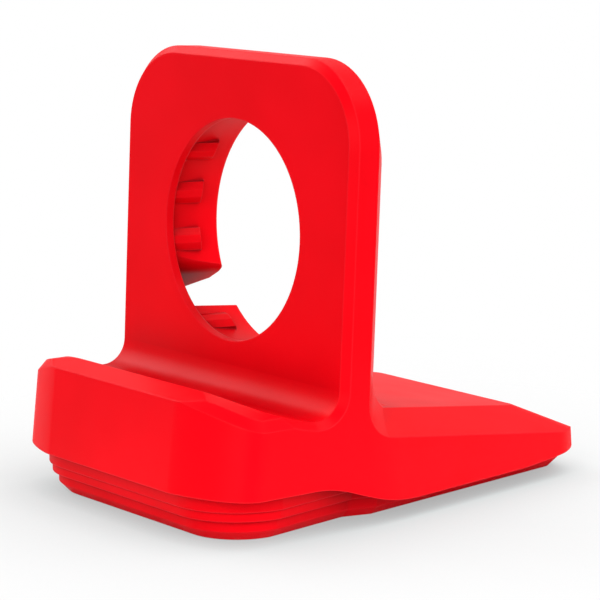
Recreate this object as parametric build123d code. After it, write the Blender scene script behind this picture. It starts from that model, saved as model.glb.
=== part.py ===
from build123d import *
from math import cos, pi, radians, sin, tan
import os

# Charging stand for a watch, moulded in one piece of soft plastic.
# All sizes are in millimetres. X is across, Y runs from the front to the back, Z is up.

# The charging puck that the stand holds
puck_radius = 13.9
puck_thickness = 7.9

# Upright plate
half_width = 23.5
puck_height = 34.05
lean_angle = 2.63
plate_above_puck = 22.2
plate_corner_radius = 10.5
plate_edge_thickness = 3.95
back_inset = 6.3
back_top_inset = 5.2
back_corner_radius = 7.5
edge_chamfer = 0.92

# Round opening for the puck
front_ring_depth = 1.2
back_clearance = 0.56
pocket_step = 0.7
pocket_flare_angle = 7.0
back_rim_rounding = 0.65
rib_height = 0.5
rib_length = 4.4
rib_end_length = 0.7
rib_width = 2.9
rib_crest_width = 1.0
rib_top_angle = 36.4
rib_step_angle = 24.1
rib_count = 5
channel_rib = 3

# Cable channel, cut from the back of the plate
channel_angle = 29.0
channel_width = 5.6
channel_offset = 2.1
channel_mouth_radius = 3.0

# Base seen from above
front_reach = 19.15
front_corner_width = 10.7
front_corner_length = 6.2
side_straight_end = 4.0
tail_taper_angle = 8.4
tail_bend_radius = 30.0
rear_reach = 45.2
rear_corner_radius = 6.5
front_lean_angle = 6.5
rear_lean_angle = 5.0

# Lip and seat
lip_crest_height = 17.5
lip_top_width = 3.5
lip_top_slope = 12.0
lip_shoulder_run = 11.5
lip_shoulder_radius = 26.0
seat_drop = 3.5
seat_flat = 1.3
seat_sag = 0.5
seat_radius = 3.3

# Tail
tail_height = 11.15
tail_height_at = 23.3
tail_slope_angle = 8.1
tail_flat_half_width = 15.8
tail_side_drop = 2.85
rear_slope_angle = 24.5
rear_edge_height = 5.1
rear_fillet_radius = 4.5
hip_radius = 4.0

# Stepped foot under the ledge
ledge_height = 5.75
ledge_fall_start = -5.0
ledge_fall_end = 12.0
tail_ledge_height = 2.45
tail_ledge_straight = 18.0
tail_ledge_rise_radius = 90.0
foot_inset = 4.05
foot_side_inset = 4.3
foot_corner_radius = 6.5
foot_waist = 2.1
foot_waist_run = 3.8
tail_foot_inset = 5.15
foot_rear_inset = 1.3
foot_rear_radius = 2.0
foot_chamfer = 1.2
second_step_out = 0.8
second_step_height = 2.6
third_step_out = 0.4
third_step_height = 3.8
step_reach = 20.0

front_flat_half_width = half_width - front_corner_width
lean = radians(lean_angle)
taper = radians(tail_taper_angle)
front_lean = tan(radians(front_lean_angle))
rear_lean = tan(radians(rear_lean_angle))
opening_depth = front_ring_depth + puck_thickness + back_clearance
pocket_radius = puck_radius + pocket_step
bend_x = half_width - tail_bend_radius * (1 - cos(taper))
bend_y = side_straight_end + tail_bend_radius * sin(taper)
block_top = lip_crest_height + 2.5
crest_y = -front_reach + front_lean * (lip_crest_height - ledge_height) + lip_top_width
far = 2 * (front_reach + rear_reach)
seat_height = lip_crest_height - seat_drop
seat_reach = seat_radius + seat_flat

# The plane of the plate's front face, with its origin at the puck's centre
plate_plane = Plane(origin=(0, 0, puck_height), x_dir=(1, 0, 0), z_dir=(0, -cos(lean), sin(lean)))


def both_halves(right_half, *middle):
    wire = right_half + mirror(right_half, Plane.YZ)
    for line in middle:
        wire = wire + line
    return make_face(wire)


def front_outline():
    corner_y = -front_reach + front_corner_length
    flat = (front_flat_half_width, -front_reach)
    bend_in = (front_flat_half_width + 0.15 * front_corner_width, -front_reach)
    bend_out = (half_width, -front_reach + 0.35 * front_corner_length)
    corner = (half_width, corner_y)
    side = (half_width, far)
    right = Bezier(flat, bend_in, bend_out, corner) + Line(corner, side)
    return both_halves(right, Line((-flat[0], flat[1]), flat), Line((-half_width, far), side))


def tail_outline(inset, reach, radius):
    r = max(radius, 0.1)
    centre_y = reach - r
    centre_x = bend_x - inset - tan(taper) * (centre_y - bend_y) - r / cos(taper)
    start = (half_width - inset, -far)
    straight = (half_width - inset, side_straight_end)
    half_turn = taper / 2
    half_bend = tail_bend_radius * (1 - cos(half_turn))
    bend_middle = (straight[0] - half_bend, side_straight_end + tail_bend_radius * sin(half_turn))
    bend_end = (bend_x - inset, bend_y)
    arc_start = (centre_x + r * cos(taper), centre_y + r * sin(taper))
    arc_middle = (centre_x + r * cos(taper / 2 + pi / 4), centre_y + r * sin(taper / 2 + pi / 4))
    arc_end = (centre_x, reach)
    right = Line(start, straight) + ThreePointArc(straight, bend_middle, bend_end)
    right = right + Line(bend_end, arc_start) + ThreePointArc(arc_start, arc_middle, arc_end)
    return both_halves(right, Line((-start[0], -far), start), Line((-centre_x, reach), arc_end))


def leaning_prism(outline, outline_height, slope, top):
    return extrude(Pos(0, -slope * outline_height, 0) * outline, top, dir=(0, slope, 1))


def side_profile():
    crest = (crest_y, lip_crest_height)
    slope = tan(radians(lip_top_slope))
    front = (-far, lip_crest_height - slope * (far + crest_y))
    seat = (-seat_reach, seat_height)
    plate_foot = (tan(lean) * (seat_height - puck_height), seat_height)
    up_plate = (tan(lean) * (block_top - puck_height), block_top)
    seat_curve = SagittaArc(crest, seat, -seat_sag)
    lines = Polyline((-far, 0), front, crest) + seat_curve
    lines = lines + Polyline(seat, plate_foot, up_plate, (far, block_top), (far, 0), (-far, 0))
    profile = make_face(lines)
    corner = profile.vertices().sort_by_distance(plate_foot + (0,))[0]
    return Plane.YZ * fillet(corner, seat_radius)


def half_space(origin, x_dir, normal):
    box = Box(far, far, far, align=(Align.CENTER, Align.CENTER, Align.MIN))
    return Plane(origin=origin, x_dir=x_dir, z_dir=normal) * box


def lip_shoulders():
    begin = half_width - lip_shoulder_run
    drop_to = half_width + 2
    run = drop_to - begin
    fall = lip_shoulder_radius - (lip_shoulder_radius ** 2 - run ** 2) ** 0.5
    start = (begin, lip_crest_height)
    end = (drop_to, lip_crest_height - fall)
    above = Polyline(end, (drop_to, 2 * block_top), (start[0], 2 * block_top), start)
    section = make_face(Plane.XZ * (RadiusArc(start, end, lip_shoulder_radius) + above))
    cut = Pos(0, -seat_reach - 0.4, 0) * extrude(section, far, dir=(0, -1, 0))
    return cut + mirror(cut, Plane.YZ)


def tail_roof():
    slope = radians(tail_slope_angle)
    roof = half_space((0, tail_height_at, tail_height), (1, 0, 0), (0, sin(slope), cos(slope)))
    edge = bend_x - tan(taper) * (tail_height_at - bend_y)
    for hand in (1, -1):
        along = Vector(-tan(taper) * hand, 1, -tan(slope))
        across = Vector((edge - tail_flat_half_width) * hand, 0, -tail_side_drop)
        normal = across.cross(along) if hand > 0 else along.cross(across)
        roof += half_space((tail_flat_half_width * hand, tail_height_at, tail_height), along, normal)
    end = radians(rear_slope_angle)
    roof += half_space((0, rear_reach, rear_edge_height), (1, 0, 0), (0, sin(end), cos(end)))
    behind = Pos(0, seat_radius / 2, 0) * Box(far, far, far, align=(Align.CENTER, Align.MIN, Align.CENTER))
    return roof & behind


def base_block():
    block = leaning_prism(front_outline(), ledge_height, front_lean, block_top)
    tail = tail_outline(0, rear_reach, rear_corner_radius)
    block &= leaning_prism(tail, rear_edge_height, -rear_lean, block_top)
    block &= extrude(side_profile(), far, both=True)
    block -= lip_shoulders()
    block -= tail_roof()
    return block


def plate_face(half, top, radius, depth):
    bottom = -puck_height + tail_height - 3
    a = (half, bottom)
    b = (half, top - radius)
    c = (half - radius, top)
    turn = radius * (1 - cos(pi / 4))
    right = Line(a, b) + ThreePointArc(b, (half - turn, top - turn), c)
    face = both_halves(right, Line((-c[0], top), c), Line((-half, bottom), a))
    return plate_plane.offset(-depth) * face


def upright():
    front = plate_face(half_width, plate_above_puck, plate_corner_radius, 0)
    edge = plate_face(half_width, plate_above_puck, plate_corner_radius, plate_edge_thickness)
    back_top = plate_above_puck - back_top_inset
    back = plate_face(half_width - back_inset, back_top, back_corner_radius, opening_depth)
    return loft([front, edge], ruled=True) + loft([edge, back], ruled=True)


def on_edge(edge, test):
    return all(test(edge @ part) for part in (0, 0.25, 0.5, 0.75, 1))


def front_rim(shape):
    def on_plate_rim(point):
        local = plate_plane.to_local_coords(point)
        outer = abs(local.X) > half_width - 0.01 or local.Y > plate_above_puck - plate_corner_radius
        return abs(local.Z) < 0.01 and outer

    def on_seat_side(point):
        above = point.Z > seat_height - 1.5
        return abs(abs(point.X) - half_width) < 0.01 and above and point.Y < 0.5 and point.Z < block_top + 1

    return [edge for edge in shape.edges() if on_edge(edge, on_plate_rim) or on_edge(edge, on_seat_side)]


def bevel_normal():
    slope = radians(tail_slope_angle)
    edge = bend_x - tan(taper) * (tail_height_at - bend_y)
    along = Vector(-tan(taper), 1, -tan(slope))
    across = Vector(edge - tail_flat_half_width, 0, -tail_side_drop)
    return across.cross(along).normalized()


def meet(start, direction, origin, normal):
    return start + direction * ((origin - start).dot(normal) / direction.dot(normal))


def cove_section(corner, up, out):
    opening = radians(up.get_angle(out))
    reach = rear_fillet_radius / tan(opening / 2)
    middle = (up + out).normalized() * (rear_fillet_radius / sin(opening / 2) - rear_fillet_radius)
    inside = corner - (up + out).normalized() * 1.0
    a = corner + up * reach
    b = corner + out * reach
    wire = ThreePointArc(a, corner + middle, b) + Polyline(b, inside, a)
    return make_face(wire)


def cove():
    slope = radians(tail_slope_angle)
    roof_point = Vector(0, tail_height_at, tail_height)
    roof_normal = Vector(0, sin(slope), cos(slope))
    bevel_point = Vector(tail_flat_half_width, tail_height_at, tail_height)
    bevel = bevel_normal()
    up = Vector(0, sin(lean), cos(lean))
    edge_line = plate_plane.from_local_coords(Vector(half_width, 0, -plate_edge_thickness))
    corner_line = plate_plane.from_local_coords(Vector(half_width - back_inset, 0, -opening_depth))
    wall = Vector(opening_depth - plate_edge_thickness, back_inset, 0).normalized()
    mitre = (wall + Vector(0, 1, 0)).normalized()
    mitre_out = (mitre - Vector(0, 0, 1) * (mitre.dot(bevel) / bevel.Z)).normalized()
    side_out = Vector(0, bevel.Z, -bevel.Y).normalized()
    flat_out = Vector(0, cos(slope), -sin(slope))
    end = meet(edge_line, up, bevel_point, bevel)
    corner = meet(corner_line, up, roof_point, roof_normal)
    flat = corner - Vector(1.5, 0, 0)
    places = [(end, side_out), (corner, mitre_out), (flat, flat_out)]
    right = [cove_section(place, up, out) for place, out in places]
    left = [mirror(section, Plane.YZ) for section in reversed(right)]
    return loft(right + left, ruled=True)


def opening():
    d = opening_depth
    r = pocket_radius + tan(radians(pocket_flare_angle)) * (d - front_ring_depth - back_rim_rounding)
    rim = back_rim_rounding
    bend = (r + rim - rim * cos(pi / 4), 0, rim - rim * sin(pi / 4) - d)
    ring_back = -front_ring_depth
    wire = Polyline((0, 0, 1), (puck_radius, 0, 1), (puck_radius, 0, ring_back))
    wire = wire + Polyline((puck_radius, 0, ring_back), (pocket_radius, 0, ring_back), (r, 0, rim - d))
    wire = wire + ThreePointArc((r, 0, rim - d), bend, (r + rim, 0, -d))
    wire = wire + Polyline((r + rim, 0, -d), (r + rim, 0, -d - 20), (0, 0, -d - 20), (0, 0, 1))
    return plate_plane * revolve(make_face(wire), Axis.Z)


def rib(angle):
    crest = pocket_radius - rib_height
    deep = front_ring_depth + rib_length
    end = deep + rib_end_length
    wall = pocket_radius + tan(radians(pocket_flare_angle)) * (end - front_ring_depth)
    outer = wall + 0.6
    top = -front_ring_depth / 2
    side = Polyline((crest, top), (crest, -deep), (wall, -end), (outer, -end), (outer, top), (crest, top))
    ridge = extrude(make_face(Plane.XZ * side), rib_width, both=True)
    a = (crest, rib_crest_width / 2)
    b = (pocket_radius, rib_width / 2)
    c = (outer + 1, rib_width / 2)
    section = make_face(Polyline(a, b, c, (c[0], -c[1]), (b[0], -b[1]), (a[0], -a[1]), a))
    ridge &= extrude(section, end + 1, both=True)
    return plate_plane * Rot(0, 0, angle) * ridge


def channel():
    upper = channel_offset - channel_width / 2
    lower = channel_offset + channel_width / 2
    r = channel_mouth_radius
    rim = pocket_radius
    centre_x = ((rim + r) ** 2 - (upper - r) ** 2) ** 0.5
    touch = (centre_x * rim / (rim + r), (upper - r) * rim / (rim + r))
    away = Vector(touch[0] - centre_x, touch[1] - upper + r, 0) + Vector(0, r, 0)
    middle = Vector(centre_x, upper - r, 0) + away.normalized() * r
    end = 1.5 * half_width
    mouth = ThreePointArc(touch, middle, (centre_x, upper))
    rest = Polyline((centre_x, upper), (end, upper), (end, lower), (0, lower), (0, touch[1]), touch)
    cut = extrude(make_face(mouth + rest), -far)
    turn = Rot(0, 0, 180 + channel_angle)
    return plate_plane * turn * (Pos(0, 0, -front_ring_depth) * cut)


def ledge_profile():
    run = ledge_fall_end - ledge_fall_start
    fall = Bezier((ledge_fall_start, ledge_height), (ledge_fall_start + 0.35 * run, ledge_height),
                  (ledge_fall_start + 0.5 * run, tail_ledge_height), (ledge_fall_end, tail_ledge_height))
    rise_start = (ledge_fall_end + tail_ledge_straight, tail_ledge_height)
    climb = rear_reach + 2 - rise_start[0]
    rise = tail_ledge_rise_radius - (tail_ledge_rise_radius ** 2 - climb ** 2) ** 0.5
    rise_end = (rear_reach + 2, tail_ledge_height + rise)
    lines = Line((-far, ledge_height), (ledge_fall_start, ledge_height)) + fall
    lines = lines + Line((ledge_fall_end, tail_ledge_height), rise_start)
    lines = lines + RadiusArc(rise_start, rise_end, -tail_ledge_rise_radius)
    lines = lines + Polyline(rise_end, (rise_end[0], -1), (-far, -1), (-far, ledge_height))
    return make_face(Plane.YZ * lines)


def foot_outline(growth, reach):
    side = half_width - foot_side_inset
    front = -front_reach + foot_inset
    r = foot_corner_radius
    centre = (side - r, front + r)
    out = r + growth
    corner_start = (centre[0], centre[1] - out)
    corner_middle = (centre[0] + out * sin(pi / 4), centre[1] - out * cos(pi / 4))
    corner_end = (centre[0] + out, centre[1])
    waist = (side - foot_waist + growth, side_straight_end)
    tail_start_y = side_straight_end + foot_waist_run
    end = foot_rear_radius + growth

    def tail_side(y):
        return bend_x - tail_foot_inset + growth - tan(taper) * (y - bend_y)

    centre_y = reach - end
    centre_x = tail_side(centre_y) - end / cos(taper)
    arc_start = (centre_x + end * cos(taper), centre_y + end * sin(taper))
    arc_middle = (centre_x + end * cos(taper / 2 + pi / 4), centre_y + end * sin(taper / 2 + pi / 4))
    arc_end = (centre_x, reach)
    right = ThreePointArc(corner_start, corner_middle, corner_end)
    right = right + Polyline(corner_end, waist, (tail_side(tail_start_y), tail_start_y), arc_start)
    right = right + ThreePointArc(arc_start, arc_middle, arc_end)
    front_line = Line((-corner_start[0], corner_start[1]), corner_start)
    return both_halves(right, front_line, Line((-centre_x, reach), arc_end))


def foot():
    rear = rear_reach - foot_rear_inset
    top = ledge_height + 1
    floor = foot_outline(0, rear)
    sole = foot_outline(foot_chamfer, rear + foot_chamfer)
    second = foot_outline(foot_chamfer + second_step_out, step_reach)
    third = foot_outline(foot_chamfer + second_step_out + third_step_out, step_reach - 1)
    steps = loft([floor, Pos(0, 0, foot_chamfer) * sole], ruled=True)
    steps += Pos(0, 0, foot_chamfer) * extrude(sole, top - foot_chamfer)
    steps += Pos(0, 0, second_step_height) * extrude(second, top - second_step_height)
    steps += Pos(0, 0, third_step_height) * extrude(third, top - third_step_height)
    return steps


def hips(shape):
    bevel = bevel_normal()
    bevel_point = Vector(tail_flat_half_width, tail_height_at, tail_height)
    end = radians(rear_slope_angle)
    rear_normal = Vector(0, sin(end), cos(end))
    rear_point = Vector(0, rear_reach, rear_edge_height)

    def on_hip(point):
        place = Vector(abs(point.X), point.Y, point.Z)
        on_bevel = abs((place - bevel_point).dot(bevel)) < 0.01
        return on_bevel and abs((place - rear_point).dot(rear_normal)) < 0.01

    return [edge for edge in shape.edges() if on_edge(edge, on_hip)]


def stand():
    body = base_block() + upright()
    body = chamfer(front_rim(body), edge_chamfer)
    tail = tail_outline(0, rear_reach, rear_corner_radius)
    body += cove() & leaning_prism(tail, rear_edge_height, -rear_lean, 2 * block_top)
    if hips(body):
        body = fillet(hips(body), hip_radius)
    body -= opening()
    for number in range(rib_count):
        angle = rib_top_angle - number * rib_step_angle
        body += rib(angle)
        if number != channel_rib:
            body += rib(180 - angle)
    body -= channel()
    body -= extrude(ledge_profile(), far, both=True) - foot()
    # The origin ends up in the middle of the footprint, on the floor
    size = body.bounding_box()
    return Pos(0, -(size.min.Y + size.max.Y) / 2, -size.min.Z) * body


os.makedirs("parts", exist_ok=True)
dock_body = stand().solid()
export_step(dock_body, "parts/dock_body.step")
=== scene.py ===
import math

import bmesh
import bpy
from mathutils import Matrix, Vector

bl_info = {
    "name": "Watch charging stand",
    "version": (1, 0, 0),
    "blender": (4, 5, 0),
    "location": "3D View > Sidebar > Stand",
    "description": "Finishes the moulded stand and sets it on a pale floor",
    "category": "Object",
}

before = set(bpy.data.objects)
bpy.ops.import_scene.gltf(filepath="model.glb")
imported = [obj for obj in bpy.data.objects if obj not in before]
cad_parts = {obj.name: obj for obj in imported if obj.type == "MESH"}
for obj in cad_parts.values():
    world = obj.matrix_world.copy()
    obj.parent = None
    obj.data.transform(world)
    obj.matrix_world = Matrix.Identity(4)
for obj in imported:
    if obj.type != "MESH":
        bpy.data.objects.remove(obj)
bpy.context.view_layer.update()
BODY_NODE = "dock_body"
MILLIMETRE = 0.001

PLASTIC_IOR = 1.5
CLOUD_DETAIL = 2.0
PATCH_DETAIL = 3.0
GRAIN_DETAIL = 3.0
# Noise values at which the plastic is all deep red and all plain red
CLOUD_RANGE = (0.3, 0.6)
# Openness at which the painted shade in an inner corner is darkest and at which it stops showing
PAINTED_SHADE_RANGE = (0.2, 0.95)
PAINTED_SHADE_SAMPLES = 12
# Likeness of the softened and the flat normal at which the painted highlight on an edge starts and
# is palest
PAINTED_HIGHLIGHT_RANGE = (0.995, 0.93)
EDGE_SAMPLES = 8
# Facing values between which the sheen gives way to the grazing sheen
GRAZING_RANGE = (0.5, 0.8)

WHITE = (1.0, 1.0, 1.0, 1.0)
FLOOR_SIDES = 64
FLOOR_SAMPLES = 16
# Width of the camera's sensor in millimetres
SENSOR_WIDTH = 36.0
# Distances in metres between which the camera sees things
NEAREST_SEEN = 0.01
FARTHEST_SEEN = 50.0
# The point that the lamps face
LAMP_AIM = Vector((0.0, 0.0, 20 * MILLIMETRE))
# Name, place in metres, width in metres and power in watts of each lamp
LAMPS = (
    ("top_lamp", (0.14, 0.14, 0.45), 0.3, 1.28),
    ("left_lamp", (-0.42, -0.1, 0.32), 0.35, 1.4),
    ("right_lamp", (0.48, 0.1, 0.16), 0.3, 1.25),
    ("front_lamp", (0.2, -0.43, 0.16), 0.25, 1.47),
)


class StandFinish(bpy.types.PropertyGroup):
    """Colours and surface of the moulded plastic."""

    red: bpy.props.FloatVectorProperty(
        name="Plastic red",
        description="Colour of the moulded plastic",
        subtype="COLOR",
        size=3,
        min=0.0,
        max=1.0,
        default=(0.93, 0.0015, 0.008),
    )
    deep_red: bpy.props.FloatVectorProperty(
        name="Deep red",
        description="Slightly darker colour that clouds the plastic",
        subtype="COLOR",
        size=3,
        min=0.0,
        max=1.0,
        default=(0.85, 0.001, 0.006),
    )
    cloud_size: bpy.props.FloatProperty(
        name="Cloud size",
        description="Width of the clouds in the colour",
        default=18 * MILLIMETRE,
        min=MILLIMETRE,
        unit="LENGTH",
    )
    # Painted shade: the darker red below stands in for the shade in the plastic's inner corners
    painted_shade_red: bpy.props.FloatVectorProperty(
        name="Crevice red",
        description="Darker colour of the plastic in its inner corners",
        subtype="COLOR",
        size=3,
        min=0.0,
        max=1.0,
        default=(0.12, 0.0003, 0.001),
    )
    painted_shade_reach: bpy.props.FloatProperty(
        name="Crevice reach",
        description="Width of the darker strip beside an inner corner",
        default=10 * MILLIMETRE,
        min=0.0,
        unit="LENGTH",
    )
    painted_shade_strength: bpy.props.FloatProperty(
        name="Crevice shade",
        description="Share of the darker colour in the inner corners",
        default=0.95,
        min=0.0,
        max=1.0,
    )
    # Painted highlight: the paler red below stands in for the light that the edges catch
    painted_highlight_red: bpy.props.FloatVectorProperty(
        name="Edge red",
        description="Paler colour of the plastic along its edges",
        subtype="COLOR",
        size=3,
        min=0.0,
        max=1.0,
        default=(1.0, 0.05, 0.07),
    )
    painted_highlight_strength: bpy.props.FloatProperty(
        name="Edge shine",
        description="Share of the paler colour along the edges",
        default=0.22,
        min=0.0,
        max=1.0,
    )
    edge_radius: bpy.props.FloatProperty(
        name="Edge radius",
        description="Radius by which the mould softens every edge",
        default=0.3 * MILLIMETRE,
        min=0.0,
        unit="LENGTH",
    )
    roughness: bpy.props.FloatProperty(
        name="Roughness",
        description="Roughness of the satin surface",
        default=0.37,
        min=0.0,
        max=1.0,
    )
    roughness_spread: bpy.props.FloatProperty(
        name="Roughness spread",
        description="How far the roughness rises and falls from patch to patch",
        default=0.04,
        min=0.0,
        max=1.0,
    )
    patch_size: bpy.props.FloatProperty(
        name="Patch size",
        description="Width of the rougher and smoother patches",
        default=7 * MILLIMETRE,
        min=MILLIMETRE,
        unit="LENGTH",
    )
    grain_size: bpy.props.FloatProperty(
        name="Grain size",
        description="Distance between the grains of the spark-eroded surface",
        default=0.22 * MILLIMETRE,
        min=0.01 * MILLIMETRE,
        unit="LENGTH",
    )
    grain_depth: bpy.props.FloatProperty(
        name="Grain depth",
        description="Depth of the grain",
        default=0.006 * MILLIMETRE,
        min=0.0,
        unit="LENGTH",
    )
    grain_strength: bpy.props.FloatProperty(
        name="Grain strength",
        description="How much of the grain's depth shows in the light",
        default=0.6,
        min=0.0,
        max=1.0,
    )
    sheen: bpy.props.FloatProperty(
        name="Sheen",
        description="Specular level of a surface that faces the viewer",
        default=0.06,
        min=0.0,
        max=1.0,
    )
    grazing_sheen: bpy.props.FloatProperty(
        name="Grazing sheen",
        description="Specular level of a surface that is seen at a low angle",
        default=0.012,
        min=0.0,
        max=1.0,
    )
    sheen_tint: bpy.props.FloatVectorProperty(
        name="Sheen tint",
        description="Tint of the sheen",
        subtype="COLOR",
        size=3,
        min=0.0,
        max=1.0,
        default=(1.0, 0.45, 0.5),
    )


class StageSetup(bpy.types.PropertyGroup):
    """Camera, floor and lamps."""

    azimuth: bpy.props.FloatProperty(
        name="Camera azimuth",
        description="Turn of the camera round the stand, from the front towards the right",
        subtype="ANGLE",
        default=math.radians(51.773),
    )
    elevation: bpy.props.FloatProperty(
        name="Camera elevation",
        description="Height of the camera above the horizon",
        subtype="ANGLE",
        default=math.radians(9.68),
    )
    distance: bpy.props.FloatProperty(
        name="Camera distance",
        description="Distance from the camera to the point that it looks at",
        unit="LENGTH",
        default=0.314887,
    )
    target: bpy.props.FloatVectorProperty(
        name="Camera target",
        description="Point that the camera looks at",
        subtype="TRANSLATION",
        size=3,
        default=(0.013976, -0.013084, 0.027033),
    )
    lens: bpy.props.FloatProperty(
        name="Focal length",
        description="Focal length of the camera in millimetres",
        default=156.1,
    )
    floor_colour: bpy.props.FloatVectorProperty(
        name="Floor colour",
        description="Colour of the floor",
        subtype="COLOR",
        size=3,
        min=0.0,
        max=1.0,
        default=(0.97, 0.97, 0.97),
    )
    floor_radius: bpy.props.FloatProperty(
        name="Floor radius",
        description="Radius of the round floor",
        default=0.4,
        unit="LENGTH",
    )
    fade_start: bpy.props.FloatProperty(
        name="Fade start",
        description="Distance from the floor's middle at which the floor begins to fade into white",
        default=45 * MILLIMETRE,
        unit="LENGTH",
    )
    fade_end: bpy.props.FloatProperty(
        name="Fade end",
        description="Distance from the floor's middle at which the floor is gone",
        default=110 * MILLIMETRE,
        unit="LENGTH",
    )
    floor_lift: bpy.props.FloatProperty(
        name="Floor lift",
        description="Share of plain white, dimmed near the stand, in the floor that the camera sees",
        default=0.85,
        min=0.0,
        max=1.0,
    )
    # Darkest level of the painted shadow in the floor's white, beside the stand
    contact_light: bpy.props.FloatProperty(
        name="Contact light",
        description="Light that is left in the white of the floor where it meets the stand",
        default=0.45,
        min=0.0,
        max=1.0,
    )
    bounce_share: bpy.props.FloatProperty(
        name="Bounce share",
        description="Share of the stand's red light that the floor leaves out",
        default=0.6,
        min=0.0,
        max=1.0,
    )
    shadow_reach: bpy.props.FloatProperty(
        name="Shadow reach",
        description="Distance within which the stand dims the floor and its red light is left out",
        default=90 * MILLIMETRE,
        unit="LENGTH",
    )
    surround_light: bpy.props.FloatProperty(
        name="Surround light",
        description="Strength of the even light from the white surround",
        default=0.15,
        min=0.0,
        max=1.0,
    )


class NodeGraph:
    """Fills a node tree: each node gets its settings, values and links as it is made."""

    def __init__(self, tree):
        self.tree = tree
        tree.nodes.clear()

    def node(self, kind, inputs=(), **settings):
        """A new node, with a value or another node's output for each input that is named."""
        made = self.tree.nodes.new(kind)
        for name, value in settings.items():
            setattr(made, name, value)
        for socket, value in dict(inputs).items():
            if isinstance(value, bpy.types.NodeSocket):
                self.tree.links.new(value, made.inputs[socket])
            else:
                made.inputs[socket].default_value = value
        return made

    def noise(self, coordinates, size, detail):
        """Soft noise whose spots are about size metres apart."""
        inputs = {"Vector": coordinates, "Scale": 1.0 / size, "Detail": detail}
        return self.node("ShaderNodeTexNoise", inputs).outputs["Fac"]

    def remap(self, value, low, high, source=(0.0, 1.0), **settings):
        """The value moved from the source range to the range from low to high, and held there."""
        start, end = source
        inputs = {"Value": value, "From Min": start, "From Max": end, "To Min": low, "To Max": high}
        return self.node("ShaderNodeMapRange", inputs, **settings).outputs["Result"]

    def mixed_colour(self, share, first, second):
        """The first colour with a share of the second in it."""
        inputs = {"Factor": share, "A": first, "B": second}
        return self.node("ShaderNodeMix", inputs, data_type="RGBA").outputs["Result"]

    def mixed_shader(self, share, first, second):
        """The first shader with a share of the second in it."""
        inputs = {"Fac": share, 1: first, 2: second}
        return self.node("ShaderNodeMixShader", inputs).outputs["Shader"]

    def calculate(self, kind, operation, *values):
        """The number that a Math or Vector Math node works out."""
        return self.node(kind, enumerate(values), operation=operation).outputs["Value"]


def new_material(name):
    """An empty material and the graph that fills it."""
    material = bpy.data.materials.new(name)
    material.use_nodes = True
    return material, NodeGraph(material.node_tree)


def plastic_colour_and_painted_light(graph, finish, coordinates, soft_normal):
    """Clouded red, with painted shade in the inner corners and a painted highlight along the edges.
    """
    cloud = graph.noise(coordinates, finish.cloud_size, CLOUD_DETAIL)
    red_share = graph.remap(cloud, 0.0, 1.0, CLOUD_RANGE)
    clouded = graph.mixed_colour(red_share, (*finish.deep_red, 1.0), (*finish.red, 1.0))
    # Painted shade: a darker red mixed in where the plastic's own inner corners close it in
    openness = graph.node(
        "ShaderNodeAmbientOcclusion",
        {"Distance": finish.painted_shade_reach},
        samples=PAINTED_SHADE_SAMPLES,
        only_local=True,
    ).outputs["AO"]
    painted_shade_share = graph.remap(openness, finish.painted_shade_strength, 0.0, PAINTED_SHADE_RANGE)
    shaded = graph.mixed_colour(painted_shade_share, clouded, (*finish.painted_shade_red, 1.0))
    # The two normals are alike on a face and part where the softened edge turns away from it; there
    # a paler red is mixed in as a painted highlight
    flat_normal = graph.node("ShaderNodeNewGeometry").outputs["Normal"]
    likeness = graph.calculate("ShaderNodeVectorMath", "DOT_PRODUCT", soft_normal, flat_normal)
    painted_highlight_share = graph.remap(likeness, 0.0, finish.painted_highlight_strength, PAINTED_HIGHLIGHT_RANGE)
    return graph.mixed_colour(painted_highlight_share, shaded, (*finish.painted_highlight_red, 1.0))


def moulded_plastic(finish):
    """Satin soft plastic with a fine spark-eroded grain."""
    material, graph = new_material("moulded_soft_plastic")
    coordinates = graph.node("ShaderNodeTexCoord").outputs["Object"]
    soft_normal = graph.node(
        "ShaderNodeBevel", {"Radius": finish.edge_radius}, samples=EDGE_SAMPLES
    ).outputs["Normal"]
    patches = graph.noise(coordinates, finish.patch_size, PATCH_DETAIL)
    smoother = finish.roughness - finish.roughness_spread
    rougher = finish.roughness + finish.roughness_spread
    grained_normal = graph.node("ShaderNodeBump", {
        "Height": graph.noise(coordinates, finish.grain_size, GRAIN_DETAIL),
        "Normal": soft_normal,
        "Strength": finish.grain_strength,
        "Distance": finish.grain_depth,
    }).outputs["Normal"]
    facing = graph.node("ShaderNodeLayerWeight").outputs["Facing"]
    shader = graph.node("ShaderNodeBsdfPrincipled", {
        "Base Color": plastic_colour_and_painted_light(graph, finish, coordinates, soft_normal),
        "Roughness": graph.remap(patches, smoother, rougher),
        "Normal": grained_normal,
        "IOR": PLASTIC_IOR,
        "Specular IOR Level": graph.remap(facing, finish.sheen, finish.grazing_sheen, GRAZING_RANGE),
        "Specular Tint": (*finish.sheen_tint, 1.0),
    })
    graph.node("ShaderNodeOutputMaterial", {"Surface": shader.outputs["BSDF"]})
    return material


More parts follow.
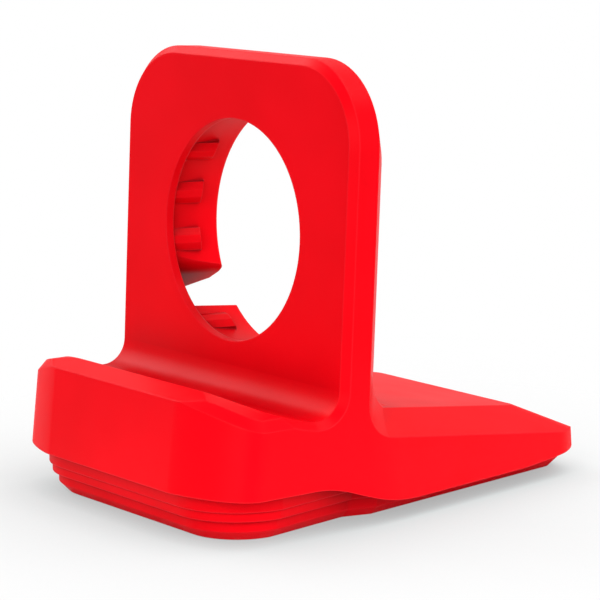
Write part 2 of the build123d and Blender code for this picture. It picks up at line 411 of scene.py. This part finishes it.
def pale_floor(stage):
    """A plain pale floor whose shadow is partly the lamps' real shadow and partly a neutral painted
    shadow, and which fades into the white of the world.
    """
    material, graph = new_material("pale_floor")
    openness = graph.node(
        "ShaderNodeAmbientOcclusion", {"Distance": stage.shadow_reach}, samples=FLOOR_SAMPLES
    ).outputs["AO"]
    red, green, blue = stage.floor_colour
    # The floor's red is painted down where the stand closes it in, as painted shade against the red
    # light that bounces off the stand
    colour = graph.node("ShaderNodeCombineColor", {
        "Red": graph.remap(openness, red * (1.0 - stage.bounce_share), red),
        "Green": green,
        "Blue": blue,
    }).outputs["Color"]
    lit = graph.node("ShaderNodeBsdfDiffuse", {"Color": colour}).outputs["BSDF"]
    # Painted shadow: the white that the camera sees is dimmed where the stand closes the floor in
    painted_shadow = graph.remap(openness, stage.contact_light, 1.0)
    white = graph.node("ShaderNodeEmission", {"Color": painted_shadow}).outputs["Emission"]
    seen = graph.node("ShaderNodeLightPath").outputs["Is Camera Ray"]
    lift = graph.calculate("ShaderNodeMath", "MULTIPLY", seen, stage.floor_lift)
    paper = graph.mixed_shader(lift, lit, white)
    coordinates = graph.node("ShaderNodeTexCoord").outputs["Object"]
    from_middle = graph.calculate("ShaderNodeVectorMath", "LENGTH", coordinates)
    fade_range = (stage.fade_start, stage.fade_end)
    fade = graph.remap(from_middle, 0.0, 1.0, fade_range, interpolation_type="SMOOTHSTEP")
    clear = graph.node("ShaderNodeBsdfTransparent").outputs["BSDF"]
    graph.node("ShaderNodeOutputMaterial", {"Surface": graph.mixed_shader(fade, paper, clear)})
    return material


def plain_background(graph, strength):
    """White light of one strength from all round."""
    inputs = {"Color": WHITE, "Strength": strength}
    return graph.node("ShaderNodeBackground", inputs).outputs["Background"]


def white_world(level):
    """A white surround: plain light at the given level, and white where it is seen."""
    world = bpy.data.worlds.new("white_surround")
    world.use_nodes = True
    graph = NodeGraph(world.node_tree)
    rays = graph.node("ShaderNodeLightPath").outputs
    seen = rays["Is Camera Ray"]
    for ray in ("Is Glossy Ray", "Is Transmission Ray"):
        seen = graph.calculate("ShaderNodeMath", "MAXIMUM", seen, rays[ray])
    light = plain_background(graph, level)
    white = plain_background(graph, 1.0)
    graph.node("ShaderNodeOutputWorld", {"Surface": graph.mixed_shader(seen, light, white)})
    bpy.context.scene.world = world


def soft_lamp(name, place, size, power):
    """A square soft box that faces the stand."""
    light = bpy.data.lights.new(name, "AREA")
    light.shape = "SQUARE"
    light.size = size
    light.energy = power
    lamp = bpy.data.objects.new(name, light)
    bpy.context.scene.collection.objects.link(lamp)
    lamp.location = place
    lamp.rotation_euler = (LAMP_AIM - Vector(place)).to_track_quat("-Z", "Y").to_euler()


def round_floor(stage):
    """The flat round floor under the stand."""
    mesh = bmesh.new()
    bmesh.ops.create_circle(mesh, cap_ends=True, segments=FLOOR_SIDES, radius=stage.floor_radius)
    data = bpy.data.meshes.new("floor")
    mesh.to_mesh(data)
    mesh.free()
    data.materials.append(pale_floor(stage))
    floor = bpy.data.objects.new("floor", data)
    bpy.context.scene.collection.objects.link(floor)
    return floor


def photo_camera(stage):
    """The camera, at the place and angle from which the photo was taken."""
    data = bpy.data.cameras.new("camera")
    data.lens = stage.lens
    data.sensor_width = SENSOR_WIDTH
    data.clip_start = NEAREST_SEEN
    data.clip_end = FARTHEST_SEEN
    camera = bpy.data.objects.new("camera", data)
    bpy.context.scene.collection.objects.link(camera)
    back = Vector((
        math.sin(stage.azimuth) * math.cos(stage.elevation),
        -math.cos(stage.azimuth) * math.cos(stage.elevation),
        math.sin(stage.elevation),
    ))
    camera.location = Vector(stage.target) + back * stage.distance
    camera.rotation_euler = (-back).to_track_quat("-Z", "Y").to_euler()
    return camera


class STAND_OT_body(bpy.types.Operator):
    """Give the moulded body its satin red plastic"""

    bl_idname = "stand.body"
    bl_label = "Moulded body"

    def execute(self, context):
        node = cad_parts[BODY_NODE]
        node.data.materials.clear()
        node.data.materials.append(moulded_plastic(context.scene.stand_finish))
        return {"FINISHED"}


class STAND_OT_stage(bpy.types.Operator):
    """Set the floor, the lamps and the camera"""

    bl_idname = "stand.stage"
    bl_label = "Stage"

    def execute(self, context):
        stage = context.scene.stand_stage
        floor = round_floor(stage)
        white_world(stage.surround_light)
        for name, place, size, power in LAMPS:
            soft_lamp(name, place, size, power)
        context.scene.camera = photo_camera(stage)
        context.scene.view_settings.view_transform = "Standard"
        return {"FINISHED"}


class STAND_PT_panel(bpy.types.Panel):
    """Lists the steps that make the stand"""

    bl_idname = "STAND_PT_panel"
    bl_label = "Watch charging stand"
    bl_space_type = "VIEW_3D"
    bl_region_type = "UI"
    bl_category = "Stand"

    def draw(self, context):
        layout = self.layout
        for step in STEPS:
            layout.operator(step.bl_idname)
        for group in (context.scene.stand_finish, context.scene.stand_stage):
            for name in group.__annotations__:
                layout.prop(group, name)


STEPS = (STAND_OT_body, STAND_OT_stage)
CLASSES = (StandFinish, StageSetup, *STEPS, STAND_PT_panel)


def register():
    for made in CLASSES:
        bpy.utils.register_class(made)
    bpy.types.Scene.stand_finish = bpy.props.PointerProperty(type=StandFinish)
    bpy.types.Scene.stand_stage = bpy.props.PointerProperty(type=StageSetup)


def unregister():
    del bpy.types.Scene.stand_stage
    del bpy.types.Scene.stand_finish
    for made in reversed(CLASSES):
        bpy.utils.unregister_class(made)


def main():
    register()
    bpy.ops.stand.body()
    bpy.ops.stand.stage()


if __name__ == "__main__":
    main()
